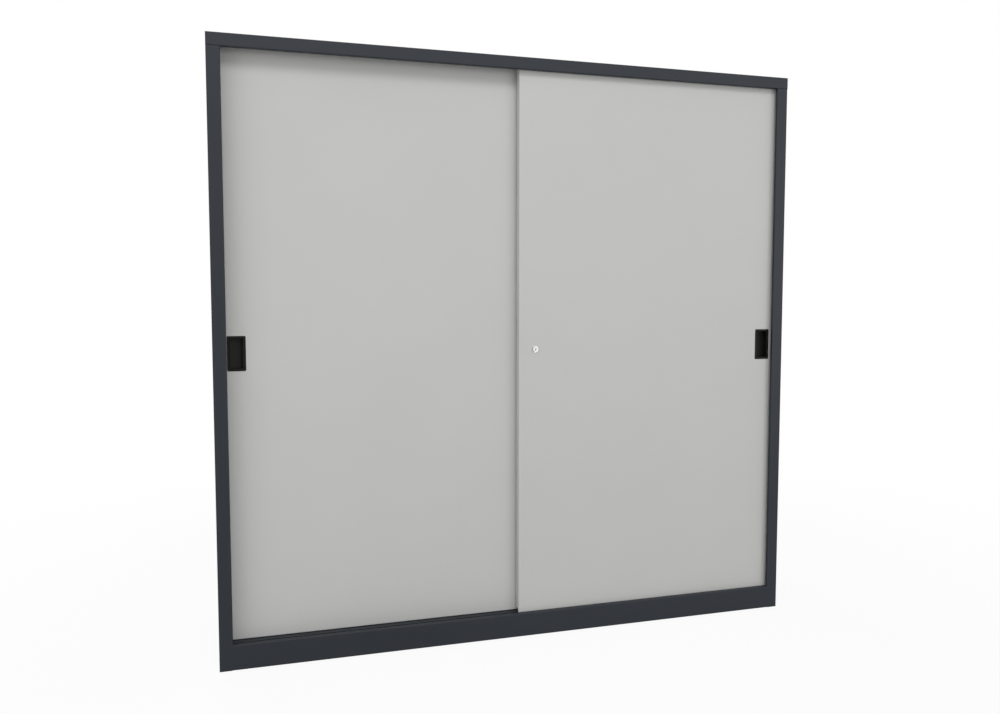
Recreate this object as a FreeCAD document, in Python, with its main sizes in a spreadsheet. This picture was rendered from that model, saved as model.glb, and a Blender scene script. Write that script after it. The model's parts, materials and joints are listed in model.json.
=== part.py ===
import FreeCAD, Part
import math
import os
import re
import Sketcher

# A two-door sliding cabinet of folded sheet steel. +Z is up, the doors face -Y, and the
# origin is at the middle of the base. The pieces are drawn with y counted backwards from
# the front plane of the frame; the Placement of each one moves it to the origin.

Vector = FreeCAD.Vector
Rule = Sketcher.Constraint

dimensions = [
    ("width", 2000, "overall width"),
    ("height", 1950, "overall height"),
    ("depth", 500, "overall depth"),
    ("steel", 1, "thickness of the sheet"),
    ("bend", 1.5, "inner radius of a fold"),
    ("fit", 0.2, "gap between sheets that meet edge to edge"),
    ("over", 1, "how far a cut runs past the sheet"),
    ("post", 41.5, "width of a front post"),
    ("lip", 9, "depth of the lip inside a post"),
    ("fascia", 39.5, "height of the fascia"),
    ("fascia_lip", 15, "depth of the lip under the fascia"),
    ("fold", 20, "width of the hidden folded edges"),
    ("plinth", 79.5, "height of the plinth"),
    ("ledge", 16, "depth of the ledge on the plinth"),
    ("inset", 3.5, "how far the plinth laps into each post"),
    ("floor_top", 80, "height of the cabinet floor"),
    ("floor_front", 90, "front edge of the floor, behind both doors"),
    ("bearer", 20, "half the width of the floor bearer"),
    ("bearer_front", 104, "front end of the floor bearer"),
    ("gusset", 2, "thickness of the corner gussets"),
    ("gusset_long", 69, "length of a corner gusset's foot"),
    ("gusset_tall", 50, "height of a corner gusset"),
    ("wall", 12, "half the thickness of the centre wall"),
    ("wall_front", 92, "front edge of the centre wall"),
    ("recess", 22, "the front door's face, behind the frame"),
    ("thick", 26, "thickness of a door"),
    ("pitch", 36, "distance from the front lane to the rear lane"),
    ("door_low", 76, "bottom edge of the doors"),
    ("door_high", 1926, "top edge of the doors"),
    ("door_out", 985, "outer edge of a closed door, from the middle"),
    ("overlap", 13.5, "inner edge of a closed door, past the middle"),
    ("travel", 860, "how far each door slides"),
    ("rim", 14, "width of the returned edges of a door"),
    ("relief", 14, "height of the corner reliefs of a door"),
    ("relief_wide", 6, "width of the corner reliefs of a door"),
    ("rib", 20, "half the width of a door's stiffener"),
    ("rib_foot", 15, "width of a stiffener's feet"),
    ("rib_end", 30, "distance from a stiffener's end to the door's edge"),
    ("lane_in", 10, "middle of the rollers and guides, behind their door's face"),
    ("table", 75, "height of the track beside its grooves"),
    ("groove", 6, "width of a track groove"),
    ("groove_floor", 65.5, "height of the groove floors"),
    ("lane", 15, "inner width of a guide lane"),
    ("lane_drop", 19, "depth of the guide channel"),
    ("wheel", 22, "radius of a roller"),
    ("tread", 2.2, "half the width of a roller"),
    ("edge", 0.8, "chamfers"),
    ("pin", 3, "radius of a roller pin"),
    ("running", 0.05, "radial clearance of a turning fit"),
    ("lift", 0.3, "gap between a roller and its groove"),
    ("wheel_room", 3, "room round a roller in the door's edge"),
    ("wheel_in", 110, "roller centre, from the door's edge"),
    ("fork", 4.4, "half the width of a roller fork"),
    ("fork_foot", 3, "width of a roller fork's feet"),
    ("fork_rise", 37, "height of a roller fork"),
    ("fork_length", 60, "length of a roller fork"),
    ("plate", 1.5, "thickness of forks, clips and keeper"),
    ("guide_in", 90, "guide block centre, from the door's edge"),
    ("guide", 20, "half the length of a guide block"),
    ("guide_wide", 6.5, "half the width of a guide block"),
    ("guide_lead", 3, "slant at the corners of a guide block"),
    ("guide_rise", 18, "height of a guide block above the door"),
    ("plug", 15, "half the length of the plug below a guide block"),
    ("plug_wide", 4.5, "half the width of the plug"),
    ("plug_deep", 21, "depth of the plug in the door"),
    ("gap", 0.3, "air between a moving piece and its stop"),
    ("stop", 15, "half the length of an opening stop"),
    ("tongue", 8, "half the length of an opening stop's tongue"),
    ("tongue_wide", 2, "half the width of the tongue"),
    ("buffer", 6, "half the width of a closing buffer"),
    ("buffer_tall", 30, "height of a closing buffer"),
    ("buffer_end", 300, "height of the lower buffers"),
    ("buffer_step", 1400, "from the lower to the upper buffers"),
    ("grip_in", 56.2, "middle of a pull, from the door's outer edge"),
    ("grip_height", 988.5, "height of the middle of a pull"),
    ("grip_wide", 28.5, "half the width of a pull"),
    ("grip_tall", 55, "half the height of a pull"),
    ("grip_lap", 4, "how far the pull's flange laps over the door"),
    ("grip_plate", 1.5, "thickness of the pull's flange"),
    ("grip_deep", 22.5, "depth of a pull behind the door's face"),
    ("grip_wall", 3, "thickness of a pull's side walls"),
    ("grip_slope", 15, "depth of the recess where its floor starts to slope"),
    ("grip_slant", 3.7, "how far the floor of the recess slopes down"),
    ("grip_hook", 4.5, "width of the lip over the finger recess"),
    ("grip_step", 5, "width of the deep part of the recess before the lip"),
    ("lock_in", 58.1, "lock axis, from the front door's inner edge"),
    ("lock_height", 986, "height of the lock axis"),
    ("rosette", 12, "radius of the lock's front ring"),
    ("barrel", 11, "radius of the lock housing"),
    ("plunger", 9.5, "radius of the lock plunger"),
    ("core", 4.5, "radius of the key plug"),
    ("keyway", 1.4, "half the width of the keyway"),
    ("keyway_tall", 3.9, "half the height of the keyway"),
    ("keyway_deep", 7, "depth of the keyway"),
    ("bolt", 4, "radius of the lock bolt"),
    ("proud", 6.5, "how far the plunger stands out of the door"),
    ("shoulder", 12, "back of the plunger, behind the door's face"),
    ("barrel_end", 23.5, "back of the housing, behind the door's face"),
    ("bolt_end", 25.5, "tip of the bolt, behind the door's face"),
    ("nut", 14, "half the width across the flats of the lock nut"),
    ("wire", 0.9, "thickness of the lock spring's wire"),
    ("coil", 6.8, "middle radius of the lock spring"),
    ("keeper_front", 51, "front of the keeper"),
    ("keeper_deep", 28, "depth of the keeper's leg"),
    ("keeper_long", 41, "length of the keeper's plate"),
    ("keeper_tall", 20, "half the height of the keeper"),
    ("shelf_rise", 375, "height from one shelf to the next"),
    ("shelf_edge", 30, "height of a shelf's edges"),
    ("shelf_front", 97, "front edge of the shelves"),
    ("shelf_back", 494, "rear edge of the shelves"),
    ("shelf_gap", 2, "gap at each end of a shelf"),
    ("rail", 12, "depth of the shelf rails"),
    ("rail_face", 15, "half the width of the face of a shelf rail"),
    ("rail_foot", 10, "width of a shelf rail's feet"),
    ("rail_high", 1905, "top of the shelf rails"),
    ("column", 130, "middle of the front column of slots"),
    ("column_step", 320, "from the front column to the rear column"),
    ("slot", 8, "half the width of a shelf slot"),
    ("slot_tall", 4, "height of a shelf slot"),
    ("slot_first", 255.5, "bottom of the lowest slots"),
    ("slot_step", 187.5, "height from one slot to the next"),
    ("clip", 7, "half the width of a shelf clip"),
    ("clip_ledge", 13.5, "how far a shelf clip reaches under the shelf"),
    ("clip_rise", 20, "from a clip's ledge to its tongue"),
    ("clip_hook", 4, "how far a clip's tongue reaches into the wall"),
]
slots_in_column = 8
coils = 4
shelf_count = 4
columns = 2

doc = FreeCAD.newDocument("SlidingDoorCabinet")
size = doc.addObject("Spreadsheet::Sheet", "Size")
for row, (name, number, meaning) in enumerate(dimensions, start=1):
    size.set(f"A{row}", meaning)
    size.set(f"B{row}", str(number))
    size.setAlias(f"B{row}", name)
doc.recompute()
pieces = []

# Distances that several pieces share, as formulas of the dimensions
half = "(width / 2)"
inside = "(width / 2 - steel)"
back = "(depth - steel)"
front_lane = "(recess + lane_in)"
rear_lane = "(recess + lane_in + pitch)"
rear_recess = "(recess + pitch)"
wheel_height = "(groove_floor + lift + wheel)"
lane_low = "(height - steel - lane_drop)"
lane_high = "(height - 2 * steel)"
stop_end = "(overlap - guide_in + travel + guide + gap)"


# Formulas

def bound(formula):
    """A formula of the dimensions, as an expression that reads the sheet."""
    return re.sub(r"[a-z_]+", lambda word: "Size." + word[0], str(formula))


def value(formula):
    return float(size.evalExpression(bound(formula)))


def to_side(side, path):
    """A path of the right side, kept there (side 1) or mirrored to the left (side -1)."""
    return [(f"{side} * ({x})", y) for x, y in path]


def steps_of(path):
    at = [Vector(value(x), value(y), 0) for x, y in path]
    return [(end - start).normalize() for start, end in zip(at, at[1:])]


def offset(path, side, gauge):
    """The path moved by a gauge to its left (side 1) or to its right (side -1)."""
    across = [Vector(-step.y, step.x, 0) * side for step in steps_of(path)]
    corners = [before + after for before, after in zip(across, across[1:])]
    shifts = [across[0]] + corners + [across[-1]]
    return [(f"{x} + {round(shift.x)} * ({gauge})", f"{y} + {round(shift.y)} * ({gauge})")
            for (x, y), shift in zip(path, shifts)]


# Sketches

def new_body(label, x="0", y="0", z="0"):
    """A body whose own origin is at x and z, at a distance y behind the front plane."""
    body = doc.addObject("PartDesign::Body", label)
    body.Label = label
    body.setExpression("Placement.Base.x", bound(x))
    body.setExpression("Placement.Base.y", bound(f"{y} - depth / 2"))
    body.setExpression("Placement.Base.z", bound(z))
    pieces.append(body)
    return body


def new_sketch(body, role, level):
    """A sketch on an origin plane of the body, moved by a level along its normal."""
    sketch = body.newObject("Sketcher::SketchObject", body.Name + "_sketch")
    plane = next(part for part in body.Origin.OriginFeatures if part.Role == role)
    sketch.AttachmentSupport = [(plane, "")]
    sketch.MapMode = "FlatFace"
    sketch.setExpression("AttachmentOffset.Base.z", bound(level))
    return sketch


def plan_view(body, z="0"):
    return new_sketch(body, "XY_Plane", z)


def front_view(body, y="0"):
    """A sketch of x and z. Its normal points to the front, so y counts against it."""
    return new_sketch(body, "XZ_Plane", f"-({y})")


def end_view(body, x="0"):
    """A sketch of y and z."""
    return new_sketch(body, "YZ_Plane", x)


def place(sketch, geometry, point, x=None, y=None):
    """Hold a point of a line or circle at distances from the sketch's axes."""
    for kind, formula in (("DistanceX", x), ("DistanceY", y)):
        if formula is not None:
            rule = sketch.addConstraint(Rule(kind, -1, 1, geometry, point, value(formula)))
            sketch.setExpression(f"Constraints[{rule}]", bound(formula))


def set_radius(sketch, geometry, radius):
    rule = sketch.addConstraint(Rule("Radius", geometry, value(radius)))
    sketch.setExpression(f"Constraints[{rule}]", bound(radius))


def polygon(sketch, points):
    at = [Vector(value(x), value(y), 0) for x, y in points]
    first = sketch.GeometryCount
    for start, end in zip(at, at[1:] + at[:1]):
        sketch.addGeometry(Part.LineSegment(start, end), False)
    for i, (x, y) in enumerate(points):
        after = (i + 1) % len(points)
        sketch.addConstraint(Rule("Coincident", first + i, 2, first + after, 1))
        place(sketch, first + i, 1, x, y)


def rectangle(sketch, left, low, right, high):
    polygon(sketch, [(left, low), (right, low), (right, high), (left, high)])


def circle(sketch, x, y, radius):
    centre = Vector(value(x), value(y), 0)
    geometry = sketch.addGeometry(Part.Circle(centre, Vector(0, 0, 1), value(radius)), False)
    place(sketch, geometry, 3, x, y)
    set_radius(sketch, geometry, radius)


def hexagon(sketch, x, y, reach):
    """A hexagon that reaches a distance from x, y to its flats."""
    corners = [math.radians(60 * i) for i in range(6)]
    radius = f"({reach}) / {math.cos(math.pi / 6):.6f}"
    polygon(sketch, [(f"{x} + {radius} * ({math.cos(corner):.6f})",
                      f"{y} + {radius} * ({math.sin(corner):.6f})") for corner in corners])


def walls(sketch, corners, radii):
    """Straight walls along the axes, from corner to corner, with rounds between them.

    The chain is closed if its last corner is its first one.
    """
    steps = steps_of(corners)
    closed = corners[0] == corners[-1]
    at = [Vector(value(x), value(y), 0) for x, y in corners]
    lines = []
    for i, step in enumerate(steps):
        start = at[i] + step * value(radii[i])
        end = at[i + 1] - step * value(radii[i + 1])
        line = sketch.addGeometry(Part.LineSegment(start, end), False)
        level = abs(step.x) > 0.5
        sketch.addConstraint(Rule("Horizontal" if level else "Vertical", line))
        x, y = corners[i]
        place(sketch, line, 1, None if level else x, y if level else None)
        lines.append(line)
    for i in range(0 if closed else 1, len(steps)):
        round_corner(sketch, lines[i - 1], lines[i], at[i], steps[i - 1], steps[i], radii[i])
    return lines


def round_corner(sketch, before, after, corner, coming, going, radius):
    """A quarter round from one wall to the next, tangent to both."""
    reach = value(radius)
    centre = corner - coming * reach + going * reach
    left_turn = coming.cross(going).z > 0
    start = going * -1 if left_turn else coming
    angle = math.atan2(start.y, start.x)
    whole = Part.Circle(centre, Vector(0, 0, 1), reach)
    arc = sketch.addGeometry(Part.ArcOfCircle(whole, angle, angle + math.pi / 2), False)
    sketch.addConstraint(Rule("Tangent", before, 2, arc, 1 if left_turn else 2))
    sketch.addConstraint(Rule("Tangent", after, 1, arc, 2 if left_turn else 1))
    set_radius(sketch, arc, radius)


def rounded(sketch, wide, tall, radius):
    """A rounded rectangle about the origin, of half sizes wide and tall."""
    corners = [(f"-{wide}", f"-{tall}"), (wide, f"-{tall}"), (wide, tall), (f"-{wide}", tall)]
    walls(sketch, corners + corners[:1], [radius] * 5)


def strip(sketch, path, side, gauge="steel"):
    """The section of a sheet with sharp folds, given as for folded()."""
    polygon(sketch, path + offset(path, side, gauge)[::-1])


def folded(sketch, path, side):
    """The section of a sheet with round folds.

    The path follows one face of the sheet along the axes. The other face lies a gauge to
    the path's left (side 1) or to its right (side -1).
    """
    steps = steps_of(path)
    outer = "(bend + steel)"
    turns = [before.cross(after).z * side for before, after in zip(steps, steps[1:])]
    near = walls(sketch, path, ["0"] + [outer if turn > 0 else "bend" for turn in turns] + ["0"])
    far = walls(sketch, offset(path, side, "steel"),
                ["0"] + ["bend" if turn > 0 else outer for turn in turns] + ["0"])
    for i, point in ((0, 1), (-1, 2)):
        start, end = (sketch.getPoint(face[i], point) for face in (near, far))
        edge = sketch.addGeometry(Part.LineSegment(start, end), False)
        sketch.addConstraint(Rule("Coincident", edge, 1, near[i], point))
        sketch.addConstraint(Rule("Coincident", edge, 2, far[i], point))
        level = abs(steps[i].x) > 0.5
        sketch.addConstraint(Rule("Vertical" if level else "Horizontal", edge))
        x, y = path[i]
        place(sketch, edge, 1, x if level else None, None if level else y)


# Features

def add_feature(body, kind, sketch):
    feature = body.newObject("PartDesign::" + kind, f"{body.Name}_{kind.lower()}")
    feature.Profile = sketch
    return feature


def pad(body, sketch, length, backwards=False, centred=False):
    feature = add_feature(body, "Pad", sketch)
    feature.setExpression("Length", bound(length))
    feature.Midplane = centred
    feature.Reversed = backwards
    return feature


def cut(body, sketch, reach):
    """A cut that reaches a distance to both sides of its sketch."""
    doc.recompute()
    before = body.Shape.Volume
    feature = add_feature(body, "Pocket", sketch)
    feature.setExpression("Length", bound(f"2 * ({reach})"))
    feature.Midplane = True
    doc.recompute()
    if not body.Shape.Volume < before:
        raise ValueError(f"a cut in {body.Label} removes nothing")
    return feature


def turned(body, outline):
    """A solid of revolution about y. The outline is given as radius and y."""
    sketch = plan_view(body)
    polygon(sketch, outline)
    feature = add_feature(body, "Revolution", sketch)
    feature.ReferenceAxis = (sketch, ["V_Axis"])
    feature.Angle = 360
    return feature


def repeat(body, feature, *rows):
    """Copies of a feature along one or two axes. A row is an axis, a count and a step."""
    pattern = body.newObject("PartDesign::LinearPattern", body.Name + "_pattern")
    pattern.Originals = [feature]
    for suffix, (role, count, step) in zip(("", "2"), rows):
        axis = next(part for part in body.Origin.OriginFeatures if part.Role == role)
        setattr(pattern, "Direction" + suffix, (axis, [""]))
        setattr(pattern, "Occurrences" + suffix, count)
        pattern.setExpression("Length" + suffix, bound(f"{count - 1} * ({step})"))
    body.Tip = pattern


def face_towards(feature, direction):
    """The name of the flat face that lies furthest in a direction."""
    flat = [(face.CenterOfMass.dot(direction), i) for i, face in enumerate(feature.Shape.Faces, 1)
            if isinstance(face.Surface, Part.Plane)]
    return f"Face{max(flat)[1]}"


def dress_face(body, kind, feature, direction, reach):
    """A Fillet or Chamfer round the face that lies furthest in a direction."""
    doc.recompute()
    dressing = body.newObject("PartDesign::" + kind, f"{body.Name}_{kind.lower()}")
    dressing.Base = (feature, [face_towards(feature, direction)])
    dressing.setExpression({"Fillet": "Radius", "Chamfer": "Size"}[kind], bound(reach))
    return dressing


def tray(body, sketch, depth, outwards):
    """A sheet with all its edges folded back. The sketch is the outline of its face."""
    block = pad(body, sketch, depth, backwards=True)
    rounds = dress_face(body, "Fillet", block, outwards, "bend + steel")
    doc.recompute()
    shell = body.newObject("PartDesign::Thickness", body.Name + "_shell")
    shell.Base = (rounds, [face_towards(rounds, outwards * -1)])
    shell.setExpression("Value", bound("steel"))
    shell.Reversed = True
    return shell


def long_section(label, section, path, side, reach):
    """A sheet section of y and z, folded() or strip(), that runs a reach to both sides."""
    body = new_body(label)
    sketch = end_view(body)
    section(sketch, path, side)
    pad(body, sketch, f"2 * {reach}", centred=True)
    return body


# Carcass

def make_side_panel(label, side):
    """A side wall with its front post, lip and rear fold, all in one sheet."""
    body = new_body(label)
    sheet = plan_view(body)
    path = [(f"{half} - post", "lip"), (f"{half} - post", "0"), (half, "0"), (half, back),
            (f"{half} - fold", back)]
    folded(sheet, to_side(side, path), side)
    pad(body, sheet, "height")

    # The fascia crosses the post's face, and the plinth laps into the post's inner edge
    lip_end, lip_back = f"{half} - post + bend + 2 * steel", "lip + over"
    fascia = plan_view(body, "height")
    polygon(fascia, to_side(side, [
        (f"{half} - post - over", "-over"), (f"{half} + over", "-over"),
        (f"{half} + over", "steel + fit"), (lip_end, "steel + fit"),
        (lip_end, lip_back), (f"{half} - post - over", lip_back)]))
    cut(body, fascia, "fascia + fit")
    plinth = plan_view(body)
    rectangle(plinth, f"{side} * ({half} - post - over)", "-over",
              f"{side} * ({half} - post + inset)", lip_back)
    cut(body, plinth, "plinth + fit")

    # The rear fold makes way for the folds of the roof and of the floor
    notches = front_view(body, back)
    for low, high in (("height - fold - fit", "height + over"),
                      ("floor_top - fold - fit", "floor_top + fit")):
        rectangle(notches, f"{side} * {inside}", low, f"{side} * ({half} - fold - over)", high)
    cut(body, notches, "bend + steel")


def make_top_panel():
    """The roof, folded down into the fascia at the front and into a flange behind."""
    low = "height - fascia"
    path = [("fascia_lip", low), ("0", low), ("0", "height"), (back, "height"),
            (back, "height - fold")]
    body = long_section("top_panel", folded, path, -1, half)

    # Behind the fascia the roof fits between the side walls and is fixed to them
    ends = plan_view(body, "height")
    flanges = plan_view(body, "height - steel")
    for side in (-1, 1):
        rectangle(ends, f"{side} * {inside}", "steel", f"{side} * ({half} + over)",
                  "depth + over")
        rectangle(flanges, f"{side} * {inside}", "floor_front",
                  f"{side} * ({inside} - steel)", "depth - 1.5 * fold")
    cut(body, ends, "fascia + over")
    pad(body, flanges, "fold", backwards=True)


def make_floor_panel():
    body = new_body("floor_panel")
    outline = plan_view(body, "floor_top")
    rectangle(outline, f"-{inside}", "floor_front", inside, back)
    tray(body, outline, "fold", Vector(0, 0, 1))


def make_plinth_front():
    path = [("ledge", "plinth"), ("0", "plinth"), ("0", "0"), ("fold", "0")]
    long_section("plinth_front", folded, path, 1, f"({half} - post + inset)")


def make_floor_bearer():
    """A hat section that carries the floor and the centre wall."""
    body = new_body("floor_bearer")
    section = front_view(body, "bearer_front")
    top = "floor_top - steel"
    strip(section, [("-bearer - fold", "steel"), ("-bearer", "steel"), ("-bearer", top),
                    ("bearer", top), ("bearer", "steel"), ("bearer + fold", "steel")], -1)
    pad(body, section, f"{back} - 2 * steel - bend - bearer_front", backwards=True)


def make_back_panel(label, side):
    body = new_body(label)
    outline = front_view(body, back)
    rectangle(outline, f"{side} * fit", "0", f"{side} * {inside}", "height - steel")
    pad(body, outline, "steel", backwards=True)


def make_corner_gusset(label, side):
    """A folded angle that ties the plinth's foot to the side wall."""
    body = new_body(label)
    section = front_view(body, "bend + 2 * steel")
    path = [(inside, "gusset_tall"), (inside, "steel"), (f"{inside} - gusset_long", "steel")]
    strip(section, to_side(side, path), -side, "gusset")
    pad(body, section, "post", backwards=True)


def make_slots(body, sheet_x, reach, column_count):
    """Columns of slots, cut through a sheet that stands at sheet_x."""
    slots = end_view(body, sheet_x)
    for i in range(column_count):
        middle = f"column + {i} * column_step"
        rectangle(slots, f"{middle} - slot", "slot_first", f"{middle} + slot",
                  "slot_first + slot_tall")
    pocket = cut(body, slots, reach)
    repeat(body, pocket, ("Z_Axis", slots_in_column, "slot_step"))


def make_partition_skin(label, side):
    """One half of the hollow centre wall, with folded edges in front and behind."""
    body = new_body(label)
    sheet = plan_view(body, "floor_top")
    rear = f"{back} - steel"
    path = [("fit / 2", "wall_front"), ("wall", "wall_front"), ("wall", rear), ("fit / 2", rear)]
    strip(sheet, to_side(side, path), side)
    pad(body, sheet, "height - steel - bend - floor_top")
    make_slots(body, f"{side} * wall", "2 * steel", columns)


def make_shelf_rail(label, side, shift):
    """A slotted hat section on a side wall."""
    body = new_body(label, y=shift)
    sheet = plan_view(body, "floor_top")
    foot, face = f"{inside} - steel", f"{half} - steel - rail"
    front, rear = "column - rail_face", "column + rail_face"
    path = [(foot, f"{front} - rail_foot"), (foot, front), (face, front), (face, rear),
            (foot, rear), (foot, f"{rear} + rail_foot")]
    strip(sheet, to_side(side, path), -side)
    pad(body, sheet, "rail_high - floor_top")
    make_slots(body, f"{side} * ({face})", "2 * steel", 1)


def make_shelf(label, side, number):
    """A folded shelf with closed ends, which rest on the clips."""
    near, far = "wall + shelf_gap", f"{half} - steel - rail - shelf_gap"
    body = new_body(label, z=f"floor_top + {number} * shelf_rise")
    section = end_view(body, f"{side} * ({near})" if side > 0 else f"-({far})")
    low = "-shelf_edge"
    strip(section, [("shelf_front + rim", low), ("shelf_front", low), ("shelf_front", "0"),
                    ("shelf_back", "0"), ("shelf_back", low), ("shelf_back - rim", low)], -1)
    pad(body, section, f"{far} - ({near})")
    for end, backwards in ((near, side < 0), (far, side > 0)):
        flange = end_view(body, f"{side} * ({end})")
        rectangle(flange, "shelf_front + steel", low, "shelf_back - steel", "-steel")
        pad(body, flange, "steel", backwards=backwards)


def make_shelf_clips():
    """Four clips for each shelf: a ledge, a back, and a tongue hooked through a slot."""
    body = new_body("shelf_clips", z="floor_top + shelf_rise - shelf_edge")
    sections = front_view(body, "column - clip")
    path = [("clip_ledge", "0"), ("plate", "0"), ("plate", "clip_rise + plate"),
            ("-clip_hook", "clip_rise + plate")]
    clip = path + offset(path, 1, "plate")[::-1]
    for side in (-1, 1):
        for wall, away in ((f"{half} - steel - rail", -1), ("wall", 1)):
            polygon(sections, [(f"{side} * ({wall} + {away} * ({x}))", z) for x, z in clip])
    row = pad(body, sections, "2 * clip", backwards=True)
    repeat(body, row, ("Y_Axis", columns, "column_step"), ("Z_Axis", shelf_count, "shelf_rise"))


# Tracks, guides and stops

def make_roller_track():
    """A folded track with a groove for each door's rollers."""
    near, far = f"{front_lane} - groove / 2", f"{rear_lane} - groove / 2"
    path = [("ledge / 4", "plinth - steel"), ("ledge", "plinth - steel"), ("ledge", "table"),
            (near, "table"), (near, "groove_floor"), (f"{near} + groove", "groove_floor"),
            (f"{near} + groove", "table"), (far, "table"), (far, "groove_floor"),
            (f"{far} + groove", "groove_floor"), (f"{far} + groove", "table"),
            ("floor_front", "table"), ("floor_front", "floor_top - fold")]
    long_section("roller_track", strip, path, -1, inside)


def make_guide_channel():
    """A folded channel under the roof, with a lane for each door's guide blocks."""
    near, far = f"{front_lane} - lane / 2", f"{rear_lane} - lane / 2"
    path = [(near, lane_low), (near, lane_high), (f"{near} + lane", lane_high),
            (f"{near} + lane", lane_low), (far, lane_low), (far, lane_high),
            (f"{far} + lane", lane_high), (f"{far} + lane", lane_low)]
    body = long_section("guide_channel", strip, path, 1, inside)
    slots = plan_view(body, lane_high)
    for side, lane in ((-1, front_lane), (1, rear_lane)):
        rectangle(slots, f"{side} * ({stop_end} + stop) - tongue - fit", f"{lane} - tongue_wide - fit",
                  f"{side} * ({stop_end} + stop) + tongue + fit", f"{lane} + tongue_wide + fit")
    cut(body, slots, "2 * steel")


def make_opening_stop(label, side, lane):
    """A block in a lane of the guide channel, held by a tongue in the channel's slot."""
    body = new_body(label, f"{side} * ({stop_end} + stop)", lane, lane_low)
    block = plan_view(body)
    rectangle(block, "-stop", "-guide_wide", "stop", "guide_wide")
    pad(body, block, f"{lane_high} - {lane_low}")
    tongue = plan_view(body, f"{lane_high} - {lane_low}")
    rectangle(tongue, "-tongue", "-tongue_wide", "tongue", "tongue_wide")
    pad(body, tongue, "steel")


def make_closing_buffers():
    """Two rubber buffers on each side wall, in the lane of the door that closes there."""
    body = new_body("closing_buffers")
    for side, lane in ((-1, rear_lane), (1, front_lane)):
        pads = end_view(body, f"{side} * {inside}")
        for low in ("buffer_end", "(buffer_end + buffer_step)"):
            rectangle(pads, f"{lane} - buffer", low, f"{lane} + buffer", f"{low} + buffer_tall")
        pad(body, pads, f"{inside} - door_out - gap", backwards=side > 0)


# Doors. Each one is given by its outer side (-1 or 1), the depth of its face and its lane.

def in_door(side, inset):
    """The x of two places in a door, at an inset from its left and its right edge."""
    if side < 0:
        return f"(-door_out + {inset})", f"(overlap - {inset})"
    return f"(-overlap + {inset})", f"(door_out - {inset})"


def make_door_panel(label, side, face):
    """A door skin with folded and returned edges, and the openings for its fittings."""
    body = new_body(label, y=face)
    skin = front_view(body)
    rectangle(skin, f"{side} * door_out", "door_low", f"-{side} * overlap", "door_high")
    tray(body, skin, "thick", Vector(0, -1, 0))
    rim = front_view(body, "thick")
    rectangle(rim, f"{side} * door_out", "door_low", f"-{side} * overlap", "door_high")
    rectangle(rim, f"{side} * (door_out - rim)", "door_low + rim",
              f"-{side} * (overlap - rim)", "door_high - rim")
    pad(body, rim, "steel")

    reliefs = front_view(body, "thick")
    for edge, inwards in ((f"{side} * door_out", -side), (f"-{side} * overlap", side)):
        rectangle(reliefs, f"{edge} - {inwards} * over", "door_low - over",
                  f"{edge} + {inwards} * relief_wide", "door_low + relief")
    cut(body, reliefs, "thick - 4 * steel")
    pull, grip_x = front_view(body), f"{side} * (door_out - grip_in)"
    wide, tall = "(grip_wide - grip_lap + fit)", "(grip_tall - grip_lap + fit)"
    rectangle(pull, f"{grip_x} - {wide}", f"grip_height - {tall}",
              f"{grip_x} + {wide}", f"grip_height + {tall}")
    cut(body, pull, "2 * steel")

    roller_slots, plug_slots = plan_view(body, "door_low"), plan_view(body, "door_high")
    long, wide, plug_wide = "(wheel + wheel_room)", "(tread + over)", "(plug_wide + fit)"
    for roller_x, plug_x in zip(in_door(side, "wheel_in"), in_door(side, "guide_in")):
        rectangle(roller_slots, f"{roller_x} - {long}", f"lane_in - {wide}",
                  f"{roller_x} + {long}", f"lane_in + {wide}")
        rectangle(plug_slots, f"{plug_x} - plug - fit", f"lane_in - {plug_wide}",
                  f"{plug_x} + plug + fit", f"lane_in + {plug_wide}")
    cut(body, roller_slots, "2 * steel")
    cut(body, plug_slots, "2 * steel")
    return body


def make_stiffener(label, side, face):
    """A hat section glued behind the middle of a door's skin."""
    body = new_body(label, f"{side} * (door_out - overlap) / 2", face, "door_low + rib_end")
    section = plan_view(body)
    foot, top = "2 * steel", "thick - plate"
    strip(section, [("-rib - rib_foot", foot), ("-rib", foot), ("-rib", top), ("rib", top),
                    ("rib", foot), ("rib + rib_foot", foot)], -1)
    pad(body, section, "door_high - door_low - 2 * rib_end")


def make_handle(label, side, face):
    """A moulded pull: a flange on the door's face, and a cup with a hooked finger recess."""
    body = new_body(label, f"{side} * (door_out - grip_in)", face, "grip_height")
    flange = front_view(body)
    rounded(flange, "grip_wide", "grip_tall", "grip_lap")
    plate = pad(body, flange, "grip_plate")
    dress_face(body, "Chamfer", plate, Vector(0, -1, 0), "edge")
    cup = front_view(body)
    rectangle(cup, "grip_lap - grip_wide", "grip_lap - grip_tall", "grip_wide - grip_lap",
              "grip_tall - grip_lap")
    pad(body, cup, "grip_deep", backwards=True)

    # The floor slopes down from the left edge to an undercut behind the right one
    recess = plan_view(body)
    left, right = "(grip_wall - grip_wide + grip_lap)", "(grip_wide - grip_lap - grip_hook)"
    mouth, floor, step = "-grip_plate - over", "grip_deep - grip_plate", f"{right} - grip_step"
    polygon(recess, [(left, mouth), (f"{left} + grip_plate", "grip_slope"),
                     (step, "grip_slope + grip_slant"), (step, floor),
                     (f"{right} + grip_hook / 2", floor), (f"{right} + grip_hook / 2", "grip_lap"),
                     (right, "grip_lap - over"), (right, mouth)])
    cut(body, recess, "grip_tall - grip_lap - grip_wall")


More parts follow.
